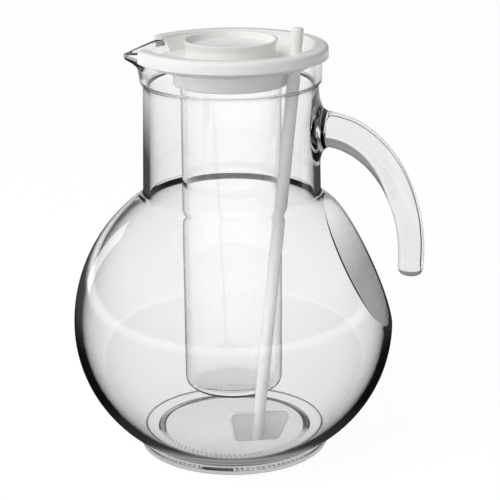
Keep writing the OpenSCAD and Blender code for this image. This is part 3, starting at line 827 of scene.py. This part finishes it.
# %% Floor and socket, wall, and rolled ring
LID_WALL, WELL_H, WELL_TAPER, SEAT_GAP, PLUG_PLAY = 2.0, 8.0, 3.6, 0.3, 0.5
SKIRT_H, RING_ROUND, INNER_ROUND, SOCKET_WALL, SLIP = 6.5, 3.0, 1.2, 1.8, 0.3
# How far the shells reach into each other, so that they look like one moulding
FLOOR_LAP, WALL_LAP, WALL_DROP, LEDGE_H = 1.2, 0.2, 1.6, 0.5
SKIRT_PLAY, SKIRT_START = 0.6, 0.1
FLOOR_ROUNDS = (0, 1.6, 0.8, 0.8, 0.8, 0.4, 0.3, 0.3, 0)
WALL_ROUNDS = (0, 0.5, 0.5, 0.8, 0.3, 0.3, 0.8, 0)
RING_ROUNDS = (0, 0.8, 0.4, 0.5, RING_ROUND, INNER_ROUND, 0)
ring_r, lid_top = lid_high.y, lid_high.z
plug_top_r = mouth_r - PLUG_PLAY
well_r, well_z = plug_top_r - WELL_TAPER, lid_top - WELL_H
socket_in = tube_high.x + SLIP
socket_r = socket_in + SOCKET_WALL
hole_r = tube_r + SLIP
floor_r = well_r + FLOOR_LAP
floor_line = rounded([
    (hole_r, lid_low.z), (socket_r, lid_low.z), (socket_r, well_z - LID_WALL),
    (floor_r, well_z - LID_WALL), (floor_r, well_z), (socket_in, well_z),
    (socket_in, lid_low.z + SOCKET_WALL), (hole_r, lid_low.z + SOCKET_WALL), (hole_r, lid_low.z),
], FLOOR_ROUNDS, steps=5)
lid_floor = revolve("lid_floor", floor_line, 200)

rest_z = rim_z + SEAT_GAP
wall_line = rounded([
    (well_r + WALL_LAP, well_z - WALL_DROP), (well_r + LID_WALL, well_z - WALL_DROP),
    (well_r + LID_WALL, well_z), (plug_top_r, rim_z - RIM_ROUND),
    (plug_top_r + RIM_ROUND, rest_z + LEDGE_H), (plug_top_r, lid_top - INNER_ROUND),
    (well_r, well_z), (well_r + WALL_LAP, well_z - WALL_DROP),
], WALL_ROUNDS)[:-1]
lid_wall = swept_arc("lid_wall", wall_line)

skirt_in = ring_r - LID_WALL
ring_line = rounded([
    (plug_top_r, rest_z), (skirt_in, rest_z), (skirt_in, lid_top - SKIRT_H),
    (ring_r, lid_top - SKIRT_H), (ring_r, lid_top), (plug_top_r, lid_top), (plug_top_r, rest_z),
], RING_ROUNDS, steps=7)[:-1]
lid_ring = swept_arc("lid_ring", ring_line,
                     nose=((ring_r - plug_top_r) / 2, (ring_r + plug_top_r) / 2),
                     skirt=(BAND_R + SKIRT_PLAY, rest_z - SKIRT_START))
print("lid shells:", [len(o.data.polygons) for o in (lid_floor, lid_wall, lid_ring)])

# %% [markdown]
# ## The stirrer's line
# The rod leans: its foot stands in front of the tube and its upper end leaves the lid at the
# handle's side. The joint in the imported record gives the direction. The rod passes the lid's
# floor midway between socket and wall, its foot follows from there, and its upper end comes from
# the box of its CAD node.

# %% Placing things on the stirrer's line
ROD_D, ROD_FOOT_TURN, ROD_LID_TURN, ROD_SLIP = 6.3, -63, -15, 0.45
stirrer_joint = next(j for j in frame["joints"] if j["child"] == "stirrer")
axis = Vector(stirrer_joint["axis"]).normalized()
lid_spot_r = (socket_r + well_r) / 2
lid_spot = Vector((lid_spot_r * math.cos(math.radians(ROD_LID_TURN)),
                   lid_spot_r * math.sin(math.radians(ROD_LID_TURN)), well_z))
foot_spot = lid_spot + axis * (FLOOR_Z - well_z) / axis.z
lean = math.acos(axis.z)
lean_turn = math.atan2(axis.y, axis.x)
turn_on_rod = math.radians(ROD_FOOT_TURN + 90) - lean_turn
on_rod = (Matrix.Translation(foot_spot) @ Matrix.Rotation(lean_turn, 4, "Z")
          @ Matrix.Rotation(lean, 4, "Y") @ Matrix.Rotation(turn_on_rod, 4, "Z"))


def put_on_rod(thing):
    """Moves a mesh, drawn round the Z axis from the rod's foot up, onto the rod's line."""
    thing.data.transform(Matrix.Scale(MM, 4) @ on_rod @ Matrix.Scale(1 / MM, 4))
    return thing


print(f"the rod leans {math.degrees(lean):.1f} degrees")

# %% Boring the lid for the rod
# Both ends of the boring tool, in millimetres from the rod's foot
BORE_FROM, BORE_TO = 150, 230
bore_r = ROD_D / 2 + ROD_SLIP
borer = revolve("borer", [(0, BORE_FROM), (bore_r, BORE_FROM), (bore_r, BORE_TO), (0, BORE_TO)], 48)
bore = lid_floor.modifiers.new("bore", "BOOLEAN")
bore.operation, bore.solver, bore.object = "DIFFERENCE", "EXACT", put_on_rod(borer)
keep_result(lid_floor)
bpy.data.objects.remove(borer)


def joined(name, things):
    """Several closed shells as one object."""
    work = bmesh.new()
    for thing in things:
        work.from_mesh(thing.data)
        bpy.data.objects.remove(thing)
    mesh = bpy.data.meshes.new(name)
    work.to_mesh(mesh)
    work.free()
    return placed(name, mesh)


lid = joined("lid_white", [lid_floor, lid_wall, lid_ring])
sharpen(lid, angle=40)
print(lid.name, len(lid.data.polygons), "faces")

# %% [markdown]
# ## The stirrer
# One flat moulding: a round rod and a paddle with a raised border round a thin web. The paddle
# is a stack of outlines, each a little further in, so that border and web are one closed skin
# with soft edges and need no bevel.

# %% Rod and paddle
PADDLE_TOP_W, PADDLE_FOOT_W, PADDLE_H, PADDLE_CORNER, LEAST_CORNER = 36.0, 25.0, 16.0, 3.0, 0.4
WEB_T, BORDER_T, BORDER_W, PADDLE_GAP = 1.4, 2.4, 1.5, 0.3
ROD_ROUNDS = (0, 0.8, 2.9, 0)
foot_lift = (PADDLE_FOOT_W / 2 * math.sin(lean) + PADDLE_GAP) / math.cos(lean)
rod_l = (rod_top_z - FLOOR_Z) / math.cos(lean) - foot_lift
rod_corners = [(0, BORDER_W / 2), (ROD_D / 2, BORDER_W / 2), (ROD_D / 2, rod_l), (0, rod_l)]
rod_line = rounded(rod_corners, ROD_ROUNDS, steps=8)
rod = revolve("rod", [(r, z + foot_lift) for r, z in rod_line], 64)


def paddle_outline(inset):
    """The paddle's outline, taken in by inset, counter-clockwise."""
    slope = math.atan((PADDLE_TOP_W - PADDLE_FOOT_W) / (2 * PADDLE_H))
    side = math.degrees(slope)
    r = max(PADDLE_CORNER - inset, LEAST_CORNER)
    extra = inset - (PADDLE_CORNER - r)

    def corner(z):
        """Middle of the arc that rounds a corner, at that height."""
        in_by = (PADDLE_CORNER + extra) / math.cos(slope)
        return (PADDLE_FOOT_W / 2 + z * math.tan(slope) - in_by, z)

    right = arc(corner(PADDLE_CORNER + extra), r, -90, -side, 6)
    right += arc(corner(PADDLE_H - PADDLE_CORNER - extra), r, -side, 90, 6)
    return right + [(-x, z) for x, z in reversed(right)]


# From the web to the paddle's edge: how far in each outline lies, and its half thickness
LAYER_INSETS = (2.1, 1.75, 1.5, 1.2, 0.45, 0.12, 0)
WEB_RISES, EDGE_FALLS = (0, 0.05, 0.35), (0, 0, 0.25, 0.7)
halves = [WEB_T / 2 + rise for rise in WEB_RISES] + [BORDER_T / 2 - fall for fall in EDGE_FALLS]
layers = list(zip(LAYER_INSETS, halves))
layers += [(inset, -half) for inset, half in reversed(layers)]
loops = [[(x, y, z + foot_lift) for x, z in paddle_outline(inset)] for inset, y in layers]
count = len(loops[0])
paddle_faces = [tuple(range(count)), tuple(range((len(loops) - 1) * count, len(loops) * count))]
paddle_faces += ring_bands(len(loops), count)
paddle = new_object("paddle", [point for loop in loops for point in loop], paddle_faces)
stirrer = joined("stirrer_white", [put_on_rod(rod), put_on_rod(paddle)])
sharpen(stirrer, angle=45)
print(stirrer.name, len(stirrer.data.polygons), "faces")

# %% [markdown]
# ## The ticks under the foot
# A mould leaves a ring of short slanted ticks under the foot, which keep the hot glass from
# slipping on the belt. They repeat round a circle, so Geometry Nodes put one small bar on each
# point of a circle. Each bar has few faces, because there are many of them.

# %% A ring of slanted bars
TICKS, TICK_R, TICK_SLANT = 96, 40.3, 35
TICK_L, TICK_W, TICK_H, TICK_END, TICK_LIFT, TICK_LEAST = 3.2, 0.7, 0.9, 0.3, 0.55, 0.05


def tick_tree():
    """Copies of the incoming bar on a circle, turned to face out."""
    tree, ins = new_tree("ring_of_ticks", (
        ("Bar", "Geometry"), ("Count", "Int"), ("Ring radius", "Float"), ("Finish", "Material")))
    circle = add_node(tree, "GeometryNodeMeshCircle",
                      {"Vertices": ins["Count"], "Radius": ins["Ring radius"]})
    place = add_node(tree, "GeometryNodeInputPosition")
    facing = add_node(tree, "FunctionNodeAlignRotationToVector",
                      {"axis": "X", "Vector": place.outputs[0]})
    copies = add_node(tree, "GeometryNodeInstanceOnPoints", {
        "Points": circle.outputs[0], "Instance": ins["Bar"], "Rotation": facing.outputs[0]})
    end_tree(tree, copies, ins["Finish"])
    return tree


def tick_bar():
    """One slanted bar with a ridge below, lying on the slope inside the foot's ring."""
    half_l, half_w = TICK_L / 2, TICK_W / 2
    slant = math.radians(TICK_SLANT)
    slope = PUNT_H / PUNT_SLOPE
    corners = [(-half_l, -half_w, TICK_H), (half_l, -half_w, TICK_H), (half_l, half_w, TICK_H),
               (-half_l, half_w, TICK_H), (-half_l + TICK_END, 0, 0), (half_l - TICK_END, 0, 0)]
    points = []
    for x, y, z in corners:
        out = x * math.cos(slant) - y * math.sin(slant)
        along = x * math.sin(slant) + y * math.cos(slant)
        points.append((out, along, max(z + TICK_LIFT - out * slope, TICK_LEAST)))
    return points, [(0, 1, 2, 3), (0, 4, 5, 1), (2, 5, 4, 3), (1, 5, 2), (3, 4, 0)]


ticks = run_tree(new_object("foot_ticks", *tick_bar()), tick_tree(),
                 {"Count": TICKS, "Ring radius": TICK_R * MM, "Finish": glass_finish})
sharpen(ticks, angle=30)
print(ticks.name, len(ticks.data.polygons), "faces")

# %% [markdown]
# ## Pieces on their bodies
# Each piece rides on the body that carries it in the CAD model and stands for the solids that
# it refines, so the lid, the tube, the cap and the stirrer lift off by their own joints.

# %% Finishes, bodies and slots
PIECES = (
    (glass, glass_finish, "jug", GLASS_NODES, "jug_glass"),
    (ticks, glass_finish, "jug", (), "jug_glass"),
    (lid, plastic_finish, "lid", ("lid",), "white_plastic"),
    (ice_tube, tube_finish, "ice_tube", ("ice_tube",), "clear_plastic"),
    (cap, plastic_finish, "ice_tube_cap", ("ice_tube_cap",), "white_plastic"),
    (stirrer, plastic_finish, "stirrer", ("stirrer",), "white_plastic"),
)
for thing, finish, body, nodes, slot in PIECES:
    thing.data.materials.clear()
    thing.data.materials.append(finish)
    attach(thing, body)
    if nodes:
        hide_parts(*nodes)
print("dressed:", [row[0].name for row in PIECES])

# %% [markdown]
# ## The studio
# Clear glass shows what lies behind it and mirrors what lies round the camera. A catalogue picture
# uses that: the paper behind is bright, and the room on the camera's side is dark. Light that
# passes straight through stays white, and light that is mirrored on its way, as it is in the rim
# of a thick wall, comes from the dark room and draws the black outlines. So floor and world ask
# each ray whether it was mirrored. That holds from every side, because the bright paper is
# always opposite the camera.
#
# Floor and world ask the same questions, so the questions are a table of steps. Each step adds
# one node, and later steps call its result by name.

# %% What kind of ray is asking
# Each glass surface takes some light from what is seen through it. The paper glows a little more
# behind more surfaces, so that it looks as white through eight of them as beside the jug.
PAPER_SEEN, PAPER_GLOWS, GLOW_SPAN, DEEP_FROM = 1.04, (0.925, 1.42), (2, 10), 4.5
MATH, MIX, RANGE = "ShaderNodeMath", "ShaderNodeMix", "ShaderNodeMapRange"
MIX_SHADER, EMISSION = "ShaderNodeMixShader", "ShaderNodeEmission"

# A ray that has left a matt surface brings light to it, and any other ray looks. Deep rays lie
# behind more than four surfaces, and inner ones bring light through glass. A range takes the
# value, the two ends that it crosses and the two results. A mix takes its share as 0 and its two
# values as 2 and 3.
RAY_STEPS = (
    ("lights", MATH, {"operation": "GREATER_THAN", 0: "Diffuse Depth", 1: 0.5}),
    ("looks", MATH, {"operation": "SUBTRACT", 0: 1.0, 1: "lights"}),
    ("straight", MATH, {"operation": "MAXIMUM", 0: "Is Camera Ray", 1: "Is Transmission Ray"}),
    ("any_way", MATH, {"operation": "MAXIMUM", 0: "straight", 1: "Is Glossy Ray"}),
    ("seen", MATH, {"operation": "MULTIPLY", 0: "any_way", 1: "looks"}),
    ("off_glass", MATH, {"operation": "GREATER_THAN", 0: "Glossy Depth", 1: 0.5}),
    ("mirrored", MATH, {"operation": "MULTIPLY", 0: "seen", 1: "off_glass"}),
    ("deep", MATH, {"operation": "GREATER_THAN", 0: "Transmission Depth", 1: DEEP_FROM}),
    ("inner", MATH, {"operation": "MULTIPLY", 0: "lights", 1: "Is Transmission Ray"}),
    ("behind_glass", RANGE, {0: "Transmission Depth", 1: GLOW_SPAN[0], 2: GLOW_SPAN[1],
                             3: PAPER_GLOWS[0], 4: PAPER_GLOWS[1]}),
    ("glow", MIX, {0: "Is Camera Ray", 2: "behind_glass", 3: PAPER_SEEN}),
)


def add_steps(tree, sockets, steps):
    """Adds a node for each step and keeps its result in sockets, under the step's name."""
    for name, kind, values in steps:
        known = {key: sockets.get(value, value) for key, value in values.items()}
        sockets[name] = add_node(tree, kind, known).outputs[0]


def ray_sockets(tree):
    """The answers of Light Path and of the ray steps, by name."""
    sockets = {socket.name: socket for socket in add_node(tree, "ShaderNodeLightPath").outputs}
    add_steps(tree, sockets, RAY_STEPS)
    return sockets


print(len(RAY_STEPS), "questions for each ray")

# %% Floor
# In a mirror of glass the floor is dark round the foot, where black cards stand, and white far
# off. Behind many surfaces the cards are left out, because they would draw the thin tube too
# black. The renderer's lamps don't shine through glass, so what stands inside the jug gets their
# share from floor and world. Where it is seen, the paper is mostly its own glow, and the matt
# rest takes the jug's faint shadow.
MIRRORED_FLOOR = ((0.033, "#B0B0B0"), (0.0345, "#383838"), (0.06, "#101010"), (0.12, "#141414"),
                  (0.2, "#404040"), (0.45, "#4C4C4C"), (0.75, "#F6F6F6"))
FLOOR_HALF, FLOOR_FAR, INNER_FLOOR, GLOW_SHARE = 25, 1.5, 0.9, 0.9
WHITE, PAPER_WHITE = colour("#FFFFFF"), colour("#F4F4F4")
floor_corners = [(x * FLOOR_HALF, y * FLOOR_HALF, 0) for x, y in ((-1, -1), (1, -1), (1, 1), (-1, 1))]
floor_mesh = bpy.data.meshes.new("floor")
floor_mesh.from_pydata(floor_corners, [], [(0, 1, 2, 3)])
placed("floor", floor_mesh)
print("floor:", 2 * FLOOR_HALF, "m wide")

# %% The floor's paper
paper = bpy.data.materials.new("white_studio_paper")
floor_mesh.materials.append(paper)
tree = empty_tree(paper)
sockets = ray_sockets(tree)
place = add_node(tree, "ShaderNodeTexCoord").outputs["Object"]
length = add_node(tree, "ShaderNodeVectorMath", {"operation": "LENGTH", 0: place})
sockets["far"] = length.outputs["Value"]
add_steps(tree, sockets, (
    ("shallow", MATH, {"operation": "SUBTRACT", 0: 1.0, 1: "deep"}),
    ("carded", MATH, {"operation": "MULTIPLY", 0: "mirrored", 1: "shallow"}),
    ("open", MATH, {"operation": "SUBTRACT", 0: "seen", 1: "carded"}),
    ("glowing", MATH, {"operation": "MULTIPLY", 0: "open", 1: GLOW_SHARE}),
    ("far_share", MATH, {"operation": "DIVIDE", 0: "far", 1: FLOOR_FAR}),
    ("cards", "ShaderNodeValToRGB", {0: "far_share"}),
    ("matt", "ShaderNodeBsdfDiffuse", {"Color": PAPER_WHITE}),
    ("bright", EMISSION, {"Color": WHITE, "Strength": "glow"}),
    ("dim", EMISSION, {"Color": "cards"}),
    ("lit", EMISSION, {"Color": WHITE, "Strength": INNER_FLOOR}),
    ("paper", MIX_SHADER, {0: "glowing", 1: "matt", 2: "bright"}),
    ("with_cards", MIX_SHADER, {0: "carded", 1: "paper", 2: "dim"}),
    ("whole", MIX_SHADER, {0: "inner", 1: "with_cards", 2: "lit"}),
))
set_ramp(sockets["cards"].node, MIRRORED_FLOOR)
add_node(tree, "ShaderNodeOutputMaterial", {"Surface": sockets["whole"]})
print("paper:", paper.name, "with", len(tree.nodes), "nodes")

# %% World
# The paper behind ends some way up, so what bends upwards in the glass meets a grey room, and a
# mirror of glass shows that room darker near the floor, and black deep in the thick base. The
# light is stronger from the left.
PAPER_END, ROOM, DEEP_MIRROR, MIRRORED_SPAN = (0.10, 0.17), 0.28, 0.02, (0.02, 0.4)
MIRRORED_WORLD, LIT_WORLD, INNER_WORLD = (0.02, 0.55), (0.74, 0.22), (4.4, 0.1)
world = bpy.data.worlds.new("white_surround")
bpy.context.scene.world = world
tree = empty_tree(world)
sockets = ray_sockets(tree)
towards = add_node(tree, "ShaderNodeTexCoord").outputs["Generated"]
sides = add_node(tree, "ShaderNodeSeparateXYZ", {0: towards}).outputs
sockets.update(along_x=sides[0], height=sides[2])
add_steps(tree, sockets, (
    ("lighting", RANGE, {0: "along_x", 1: -1, 2: 1, 3: LIT_WORLD[0], 4: LIT_WORLD[1]}),
    ("behind", RANGE, {0: "height", 1: PAPER_END[0], 2: PAPER_END[1], 3: "glow", 4: ROOM}),
    ("plain", MIX, {0: "seen", 2: "lighting", 3: "behind"}),
    ("dark_room", RANGE, {0: "height", 1: MIRRORED_SPAN[0], 2: MIRRORED_SPAN[1],
                          3: MIRRORED_WORLD[0], 4: MIRRORED_WORLD[1]}),
    ("in_mirror", MIX, {0: "deep", 2: "dark_room", 3: DEEP_MIRROR}),
    ("looked_at", MIX, {0: "mirrored", 2: "plain", 3: "in_mirror"}),
    ("through_glass", RANGE, {0: "along_x", 1: -1, 2: 1, 3: INNER_WORLD[0], 4: INNER_WORLD[1]}),
    ("level", MIX, {0: "inner", 2: "looked_at", 3: "through_glass"}),
    ("sky", "ShaderNodeBackground", {"Color": WHITE, "Strength": "level"}),
))
add_node(tree, "ShaderNodeOutputWorld", {"Surface": sockets["sky"]})
print("world:", world.name, "with", len(tree.nodes), "nodes")

# %% Lamps
# Each lamp has a place and a size in metres, a power in watts, and says whether glass mirrors it.
# The large box is screened, so that it shows no picture of itself. The strip draws a streak on
# the left of the belly and a glint at the spout.
LAMP_TARGET = Vector((0, 0, 0.12))
LAMPS = (("soft_box_top", (-0.45, -0.6, 0.9), (0.7, 0.7), 6.2, False),
         ("strip_box_left", (-0.85, 0.6, 0.25), (0.2, 0.5), 0.7, True))
for name, place, size, power, in_mirrors in LAMPS:
    lamp = bpy.data.lights.new(name, "AREA")
    lamp.shape, lamp.energy = "RECTANGLE", power
    lamp.size, lamp.size_y = size
    thing = placed(name, lamp)
    thing.location = place
    thing.rotation_euler = (LAMP_TARGET - Vector(place)).to_track_quat("-Z", "Y").to_euler()
    thing.visible_glossy = in_mirrors
    thing.visible_transmission = False
print("lamps:", [lamp[0] for lamp in LAMPS])

# %% [markdown]
# ## The camera
# A long lens from a little above, as in a catalogue picture. Its place comes from fitting the
# jug's round edges, which a camera above sees as ellipses.

# %% Camera
CAMERA_TURN, CAMERA_RISE, CAMERA_FAR, AIM_Z = 7.0, 17.5, 0.883, 0.107
LENS_MM, SENSOR_MM, ROLL, SHIFT = 120.02, 36.0, 0.6, 0.0348
scene = bpy.context.scene
lens = bpy.data.cameras.new("camera")
lens.lens, lens.sensor_width, lens.shift_x = LENS_MM, SENSOR_MM, SHIFT
camera = placed("camera", lens)
turn, rise = math.radians(CAMERA_TURN), math.radians(CAMERA_RISE)
aim = Vector((0, 0, AIM_Z))
away = Vector((math.sin(turn) * math.cos(rise), -math.cos(turn) * math.cos(rise), math.sin(rise)))
look = (-away).to_track_quat("-Z", "Y").to_matrix().to_4x4()
camera.matrix_world = (Matrix.Translation(aim + away * CAMERA_FAR) @ look
                       @ Matrix.Rotation(math.radians(-ROLL), 4, "Z"))
scene.camera = camera
scene.view_settings.view_transform = "Standard"
print("camera", CAMERA_FAR, "m from the jug's middle")
